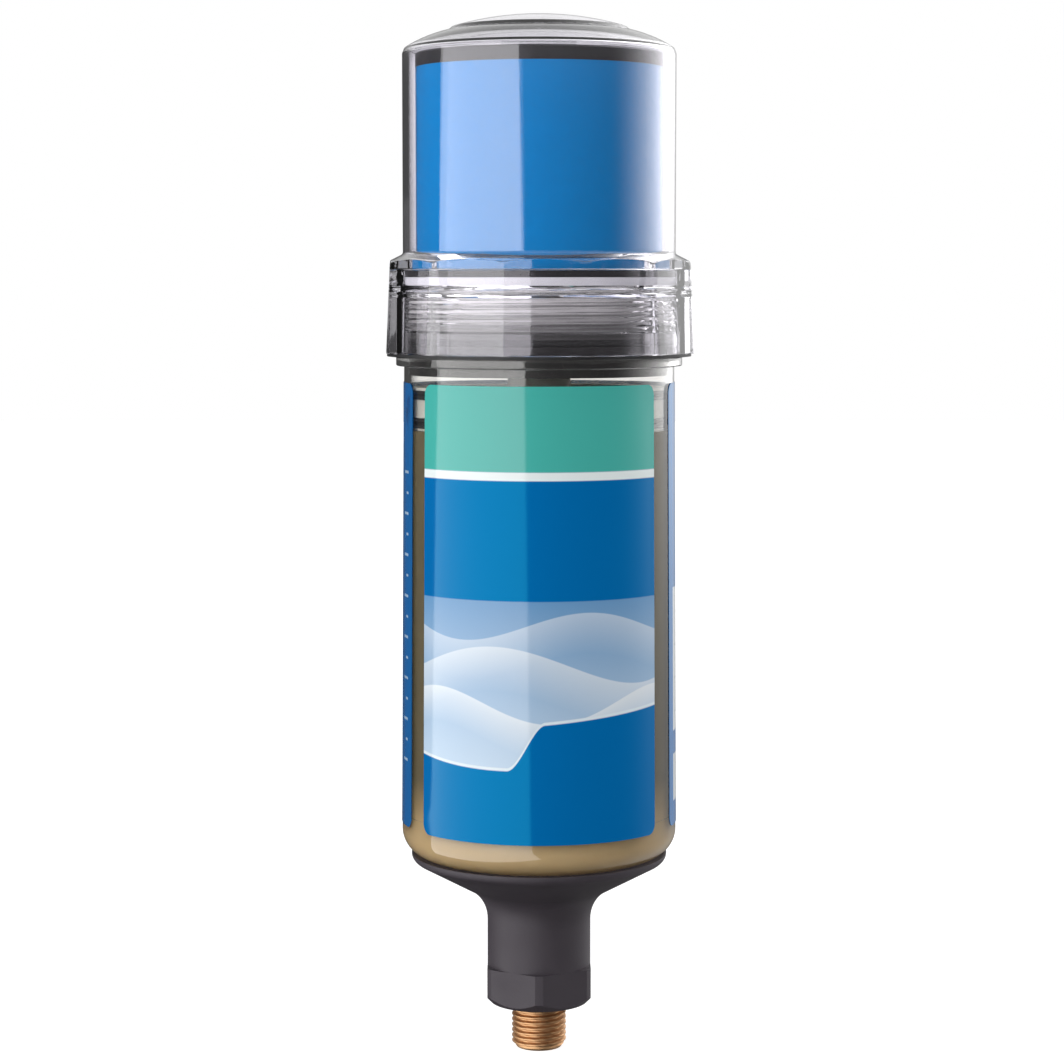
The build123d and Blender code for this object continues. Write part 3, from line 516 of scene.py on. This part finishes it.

# Lithium-thickened grease: smooth and wet, with slow swirls where the press filled the can. The charge
# above the foot is painted dark olive, as painted shade where the labels keep the light off it; the foot
# keeps the grease's paler tan.
grease, tree, shader = surface("tan lithium grease", "#a99470", 0.3, Subsurface_Weight=0.12,
                               Subsurface_Radius=(0.004, 0.0025, 0.0012), Subsurface_Scale=0.5)
up = up_the_piece(tree)
wavy = add(tree, MATH, [cloud(tree, 14.0), 6.0, up], operation="MULTIPLY_ADD")
swirl = cloud(tree, 11.0, 4.0)
foot_tone = add(tree, MIX, {0: swirl, 6: linear("#c9aa7a"), 7: linear("#d8be90")}, **COLOURS)
# painted shade: the charge's darker olive tone, standing for the shade it lies in behind the labels
charge_painted_shade = add(tree, MIX, {0: swirl, 6: linear("#665d45"), 7: linear("#776c51")}, **COLOURS)
# blends from the foot's own tan up to the charge's painted shade, along a wavy line
depth = add(tree, RANGE, [wavy, 46.0, 62.0], **SMOOTH)
wire(tree, shader, {"Base Color": add(tree, MIX, {0: depth, 6: foot_tone, 7: charge_painted_shade}, **COLOURS)})
grain(tree, shader, 7.0, 0.12, 3.0)

# Filled steel cell in a shrunk film sleeve: dark slate film, a copper-toned band at one end, bare ends.
sleeve_slate = "#23272d"
cell_sleeve, tree, shader = surface("cell in shrunk film sleeve", sleeve_slate, 0.3)
up = up_the_piece(tree)
cell_foot, cell_head = (level.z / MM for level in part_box("battery_cell_left"))
band = between(tree, up, cell_head - 13.0, cell_head - 2.5)
sleeve = between(tree, up, cell_foot + 1.3, cell_head - 2.3, 0.05)
bare = add(tree, MATH, [1.0, sleeve], operation="SUBTRACT")
ink = add(tree, MIX, {0: band, 6: linear(sleeve_slate), 7: linear("#a8683f")}, **COLOURS)
ink = add(tree, MIX, {0: bare, 6: ink, 7: linear("#b9bbbd")}, **COLOURS)
wire(tree, shader, {"Base Color": ink, "Metallic": bare})
grain(tree, shader, 3.0, 0.01)

# Glass-epoxy board under green solder mask: copper tracks show as paler lines, laid 2.5 mm apart.
solder_mask, tree, shader = surface("glass-epoxy board, green solder mask", "#125233", 0.3)
tracks = add(tree, "ShaderNodeTexBrick", {
    "Vector": add(tree, "ShaderNodeTexCoord").outputs["Object"], "Scale": 1.0, "Color1": linear("#114e30"),
    "Color2": linear("#135434"), "Mortar": linear("#2b7d50"), "Mortar Size": 0.35 * MM,
    "Brick Width": 7.5 * MM, "Row Height": 2.5 * MM})
wire(tree, shader, {"Base Color": tracks})
grain(tree, shader, 1.0, 0.01)

# Screen ink for scales: flat white, a trace rough.
scale_ink = moulded("white screen ink", "#e4e5e6", "#d9dadb", 0.5, 2.0, 0.2, 0.004)

# ---------------------------------------------------------------- pieces

# sizes in mm from the seat and the axis, as the solids have them
thread_r, outlet_bore_r, outlet_end, gas_pitch, gas_depth = 6.5785, 3.2, -11.3, 1.337, 0.8565
cover_pitch, neck_ridge, cover_ridge, facet_turn = 2.2, 0.8, 1.12, 16.8
steps_per_turn = 12
outlet_root = thread_r - gas_depth
outlet_thread = {"thread": 1, "step": gas_pitch / steps_per_turn, "run_out": 0.9}

nipple = turned("outlet_nipple_visual", outline(
    (outlet_bore_r, outlet_end), (5.45, outlet_end),
    (outlet_root, -10.9, 0, outlet_thread), (outlet_root, -0.15),
    (6.2, 0.0), (6.2785, 1.5), (8.0, 1.5, 0.3), (8.0, 5.0), (7.1, 5.0), (7.1, 7.0), (8.0, 7.0),
    (8.0, 10.5, 0.3), (outlet_bore_r, 10.5)),
    turned_brass, 96, 0.0, gas_pitch, gas_depth, 0.22)
put(nipple, "lubricator_body", "brass_nipple", "outlet_nipple")

# the canister: a rounded foot, a drafted wall, a collar, and the neck with its screw thread
foot_z, floor_z, collar_z, collar_top, screw_top, seat_z = 36.5, 38.3, 154.5, 156.7, 173.3, 152.4
neck_r, neck_thread = 33.3, {"thread": 1, "step": cover_pitch / steps_per_turn, "run_out": 1.5}
neck_root = 32.62     # the crests stay inside the ring seal, which passes over them with the cover
canister = turned("canister_visual", outline(
    (4.0, 12.0), (8.2, 12.0, 0.3), (8.2, 17.16), (6.6, 17.16), (6.6, 19.44), (8.2, 19.44),
    (8.2, foot_z), (23.6, foot_z), (23.6, 35.3), (25.4, 35.3), (25.4, foot_z),
    (33.1, foot_z, 6.5), (32.2, collar_z, 0.3), (34.1, collar_z, 0.35), (34.1, collar_top, 0.35),
    (neck_r, collar_top), (neck_r, 162.4, 0.2), (neck_root, 162.9, 0, neck_thread), (neck_root, 172.9),
    (neck_root, screw_top, 0.25), (31.1, screw_top, 0.2), (31.1, seat_z), (30.6, seat_z),
    (30.6, floor_z, 4.5), (4.0, floor_z, 0.5), bend=14),
    clear_copolyester, 264, facet_turn - 180, cover_pitch, neck_ridge, 0.25)
put(canister, "lubricator_body", "canister_clear", "canister")

# the cover: a screw ring with drafted grip facets, a shoulder, a straight wall, and a crown with a disc
facets, cover_z, ring_foot_r, ring_top_r, ring_top = 12, 157.45, 37.55, 36.6, 178.8
ring_draft = (ring_foot_r - ring_top_r) / (ring_top - cover_z)
cover_r, shoulder_z, wall_top = 32.4, 180.9, 227.9
crown_foot, crown_top, disc_edge, disc_rise = (31.9, 229.15), (21.6, 233.3), (20.8, 234.1), 3.0
inner_crown, inner_foot, inner_disc = (21.0, 231.8), (30.9, 228.2), (20.2, 232.6)
flat = {"flat": 1.0}
flat_rows = {"flat": 1.0, "step": 0.1}
cover_bore, inner_thread = 34.5, {"thread": -1, "step": cover_pitch / steps_per_turn, "run_out": 0.9}
cover = turned("protective_cover_visual", outline(
    (cover_bore, cover_z, 0.2), (ring_foot_r, cover_z, 0.5, flat), (ring_top_r, ring_top, 1.2, flat),
    (35.9, 179.15, 0, flat_rows), (35.0, 179.6), (cover_r, shoulder_z, 0.8),
    (cover_r, wall_top, 0.35), (*crown_foot, 0.9), *bowed(crown_foot, crown_top, 0.5), (*crown_top, 0.3),
    (*disc_edge, 0.35), *cap(*disc_edge, disc_rise)[1:], *cap(*inner_disc, disc_rise)[::-1][:-1],
    (*inner_disc, 0.25), (*inner_crown, 0.25), *bowed(inner_crown, inner_foot, -0.5), (*inner_foot, 1.2),
    (30.9, 177.3), (cover_bore, 177.3, 0.4), (cover_bore, 173.4, 0, inner_thread), (cover_bore, 170.6),
    bend=12), clear_san, 264, facet_turn, cover_pitch, cover_ridge, 0.25,
    (facets, ring_foot_r * cos(pi / facets)), cover_z, ring_draft)
put(cover, "cover_body", "cover_clear", "protective_cover")

# the gasket lies on the rim, and its thin skirt lines the neck
gasket_top, skirt_foot, skirt_in, skirt_out = 175.3, 161.0, 31.02, 31.09
gasket = turned("rim_gasket_visual", outline(
    (skirt_in, skirt_foot), (skirt_out, skirt_foot), (skirt_out, screw_top), (neck_r, screw_top, 0.2),
    (neck_r, gasket_top, 0.2), (skirt_in, gasket_top)), silicone_painted_ribs)
put(gasket, "lubricator_body", "gasket_white", "rim_gasket")

# the spindle: a coarse lead thread, a flange, and a hexagon socket for the output wheel's dog
lead, lead_depth, lead_root = 3.0, 1.45, 3.55
lead_thread = {"thread": 1, "step": lead / steps_per_turn, "run_out": 2.1}
spindle = turned("spindle_visual", outline(
    (0, 47.5), (2.6, 47.5), (lead_root, 48.4, 0, lead_thread), (lead_root, 145.6), (5.0, 146.6),
    (7.5, 146.6, 0.4), (7.5, 151.9, 0.3), (3.58, 151.9, 0, flat), (3.58, 148.1, 0, flat), (0, 148.1)),
    pale_acetal, 72, 0.0, lead, lead_depth, 0.36, (6, 3.1))
put(spindle, "spindle_body", "spindle_acetal", "spindle")

# the grease wets the wall, so it reaches a hair into the clear plastic and no air shows between them
wetted_r, charge_z, charge_top, stroke = 30.62, 47.1, 139.5, 90.0
charge = turned("grease_charge_visual", outline(
    (5.1, charge_z), (wetted_r, charge_z, 0, {"step": 2.3}), (wetted_r, charge_top), (5.1, charge_top)),
    grease)
put(charge, "lubricator_body", "grease_tan", "grease_charge")
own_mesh(charge)

heel_z = floor_z - 0.02
heel = turned("grease_heel_visual", outline(
    (0, 12.0), (3.9, 12.0), (3.9, heel_z), (wetted_r, heel_z, 4.5), (wetted_r, 47.0), (0, 47.0), bend=14),
    grease)
put(heel, "lubricator_body", "grease_tan", "grease_heel")

# scale round the dial: twelve numbered marks over the dial's travel, clockwise from the left
scale_z, pointer_z, mark_h, number_r, months = 227.8, 232.3, 0.06, 13.6, 12
first, spacing = radians(180), radians(-270 / (months - 1))
scale = grown("dial_scale_marks", bpy.data.meshes.new("dial scale"), MARKS, count=months, first=first,
              spacing=spacing, inner_radius=10.0 * MM, outer_radius=11.6 * MM, width=0.5 * MM,
              thickness=mark_h * MM, level=(scale_z + mark_h / 2) * MM, finish=scale_ink)
put(scale, "lubricator_body", "dial_grey")
digits = []
for k in range(months):
    text = bpy.data.curves.new("dial number", "FONT")
    text.body = str(k + 1)
    text.size = 2.7 * MM
    text.align_x = text.align_y = "CENTER"
    text.extrude = mark_h / 2 * MM
    text.resolution_u = 3
    angle = first + spacing * k
    middle = Vector((number_r * cos(angle), number_r * sin(angle), scale_z + mark_h / 2)) * MM
    place = Matrix.Translation(middle)
    obj = bpy.data.objects.new("dial number", text)
    bpy.context.collection.objects.link(obj)
    mesh = bpy.data.meshes.new_from_object(obj.evaluated_get(bpy.context.evaluated_depsgraph_get()))
    mesh.transform(place @ Euler((0, 0, angle - pi / 2)).to_matrix().to_4x4())
    bpy.data.objects.remove(obj)
    digits.append(mesh)
work = bmesh.new()
for mesh in digits:
    work.from_mesh(mesh)
bmesh.ops.remove_doubles(work, verts=work.verts, dist=1e-6)
numbers_mesh = bpy.data.meshes.new("dial scale numbers")
work.to_mesh(numbers_mesh)
work.free()
numbers_mesh.materials.append(scale_ink)
numbers = bpy.data.objects.new("dial_scale_numbers", numbers_mesh)
bpy.context.collection.objects.link(numbers)
put(numbers, "lubricator_body", "dial_grey")
pointer = grown("dial_pointer_mark", bpy.data.meshes.new("dial pointer"), MARKS, count=1, first=first,
                spacing=0.0, inner_radius=3.0 * MM, outer_radius=8.4 * MM, width=0.7 * MM,
                thickness=mark_h * MM, level=(pointer_z + mark_h / 2) * MM, finish=satin_black)
put(pointer, "dial_body", "drive_black")

# ---------------------------------------------------------------- finishes of the CAD pieces

for material, *node_names in (
        (black_polyamide, "support_flange"),
        (nitrile, "outlet_seal", "base_seal", "cover_seal", "piston_seal_lower", "piston_seal_upper"),
        (pale_acetal, "piston"),
        (satin_black, "drive_base", "drive_top"),
        (satin_grey, "drive_shell", "battery_holder"),
        (blue_film, "drive_label"),
        (front_film, "front_label"),
        (rear_film, "rear_label"),
        (pale_grey, "time_dial"),
        (gear_acetal, "output_wheel", "idler_gear"),
        (ground_steel, "thrust_washer", "idler_axle", "motor_pinion"),
        (drawn_can, "gear_motor"),
        (zinc_plate, "gear_plate", "chassis_screws"),
        (cell_sleeve, "battery_cell_left", "battery_cell_middle", "battery_cell_right"),
        (nickel, "battery_contacts"),
        (solder_mask, "circuit_board"),
        (epoxy_black, "setting_switch", "controller_chip", "capacitor"),
        (lamp_epoxy, "status_lamps"),
        (green_acrylic, "light_pipe_run"),
        (red_acrylic, "light_pipe_alarm")):
    for node_name in node_names:
        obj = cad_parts[node_name]
        if not obj.material_slots:
            obj.data.materials.append(material)
        for held in obj.material_slots:
            held.material = material

# ---------------------------------------------------------------- studio

camera_data = bpy.data.cameras.new("camera")
camera_data.lens = 91.96
camera_data.sensor_width = 36.0
camera_data.clip_start = 0.01
camera = bpy.data.objects.new("camera", camera_data)
camera.location = (-0.0017, -0.650, 0.174)
camera.rotation_euler = (radians(90 - 5.23), 0, 0)
bpy.context.collection.objects.link(camera)
bpy.context.scene.camera = camera


def placed(azimuth, reach, height):
    """Point at that azimuth to the left of the camera's side, seen from above, in degrees and metres."""
    return -reach * sin(radians(azimuth)), -reach * cos(radians(azimuth)), height


def panel(name, corners, finish):
    """A flat four-cornered thing that belongs to the studio."""
    mesh = bpy.data.meshes.new(name)
    mesh.from_pydata(corners, [], [(0, 1, 2, 3)])
    mesh.materials.append(finish)
    obj = bpy.data.objects.new(name, mesh)
    bpy.context.collection.objects.link(obj)
    return obj


def seen_straight(tree):
    """The ray's outputs, and 1 where the camera sees the place directly or through clear plastic only."""
    ray = add(tree, "ShaderNodeLightPath").outputs
    bounced = add(tree, MATH, [ray["Glossy Depth"], ray["Diffuse Depth"]], operation="ADD")
    unbounced = add(tree, MATH, [bounced, 0.5], operation="LESS_THAN")
    through = add(tree, MATH, [ray["Is Transmission Ray"], unbounced], operation="MULTIPLY")
    return ray, add(tree, MATH, [ray["Is Camera Ray"], through], operation="MAXIMUM")


# the soft box on the left, a little wider towards its foot
box_reach, box_foot, box_head, box_radiance = 0.98, -0.6, 0.8, 2.7
near_edge, far_edge = (9.5, 20.0), (97.0, -24.0)
box_glow = bpy.data.materials.new("soft box glow")
tree = blank(box_glow)
light = add(tree, "ShaderNodeEmission", {"Color": WHITE, "Strength": box_radiance})
add(tree, "ShaderNodeOutputMaterial", {"Surface": light})
box_corners = [placed(edge + lean * height, box_reach, height) for (edge, lean), height in (
    (near_edge, box_foot), (near_edge, box_head), (far_edge, box_head), (far_edge, box_foot))]
soft_box = panel("left soft box", box_corners, box_glow)
soft_box.visible_camera = False

# a fill from the right that no gloss shows
fill_width, fill_height, fill_radiance = 0.9, 1.2, 1.2
fill = bpy.data.lights.new("right fill", "AREA")
fill.shape = "RECTANGLE"
fill.size, fill.size_y = fill_width, fill_height
fill.energy = fill_radiance * pi * fill_width * fill_height
right_fill = bpy.data.objects.new("right fill", fill)
right_fill.location = (0.85, -0.05, 0.15)
right_fill.rotation_euler = (Vector((0, 0, 0.13)) - right_fill.location).to_track_quat("-Z", "Y").to_euler()
right_fill.visible_glossy = False
right_fill.visible_transmission = False
bpy.context.collection.objects.link(right_fill)

# a pale room: white behind the object, an even fill on matt surfaces, and in reflections a bright right
# side and back, a dark left back and camera side and a light ceiling
world = bpy.data.worlds.new("pale studio")
bpy.context.scene.world = world
tree = blank(world)
ray, straight = seen_straight(tree)
facing = add(tree, "ShaderNodeSeparateXYZ", [add(tree, "ShaderNodeTexCoord").outputs["Generated"]]).outputs
back = add(tree, RANGE, [facing["Y"], -0.48, 0.65], **SMOOTH)
right = add(tree, RANGE, [facing["X"], 0.0, 0.6, 0.0, 2.15], **SMOOTH)
low_down = add(tree, RANGE, [facing["Z"], -0.2, 0.06, 0.25], **SMOOTH)
right_back = add(tree, MATH, [back, right], operation="MULTIPLY")
right_back = add(tree, MATH, [right_back, low_down], operation="MULTIPLY")
ceiling = add(tree, RANGE, [facing["Z"], 0.07, 0.32, 0.07, 0.97], **SMOOTH)
mirrored = add(tree, MATH, [right_back, ceiling], operation="ADD")
matt = add(tree, MATH, [ray["Diffuse Depth"], 0.5], operation="GREATER_THAN")
seen = add(tree, MIX, {0: matt, 2: mirrored, 3: 0.38})
seen = add(tree, MIX, {0: straight, 2: seen, 3: 1.0})
add(tree, "ShaderNodeOutputWorld",
    {"Surface": add(tree, "ShaderNodeBackground", {"Color": WHITE, "Strength": seen})})

# a pale floor at the outlet's end: it takes the shadow, and glows so that it meets the white room far off
ground_z, ground_half = -0.0114, 3
floor_white = bpy.data.materials.new("pale floor")
tree = blank(floor_white)
ray, straight = seen_straight(tree)
place = add(tree, "ShaderNodeTexCoord").outputs["Object"]
away = add(tree, "ShaderNodeVectorMath", [place], operation="LENGTH")
glow = add(tree, RANGE, [away, 0.1, 0.6, 0.78, 1.0], **SMOOTH)
glow = add(tree, MATH, [straight, glow], operation="MULTIPLY")
paint = add(tree, "ShaderNodeBsdfDiffuse", {"Color": linear("#c9c9c9")})
light = add(tree, "ShaderNodeEmission", {"Color": WHITE, "Strength": glow})
add(tree, "ShaderNodeOutputMaterial", {"Surface": add(tree, "ShaderNodeAddShader", [paint, light])})
ground_corners = [(x * ground_half, y * ground_half, ground_z)
                  for x, y in ((-1, -1), (1, -1), (1, 1), (-1, 1))]
floor = panel("floor", ground_corners, floor_white)
floor.visible_glossy = False

bpy.context.scene.view_settings.view_transform = "Standard"
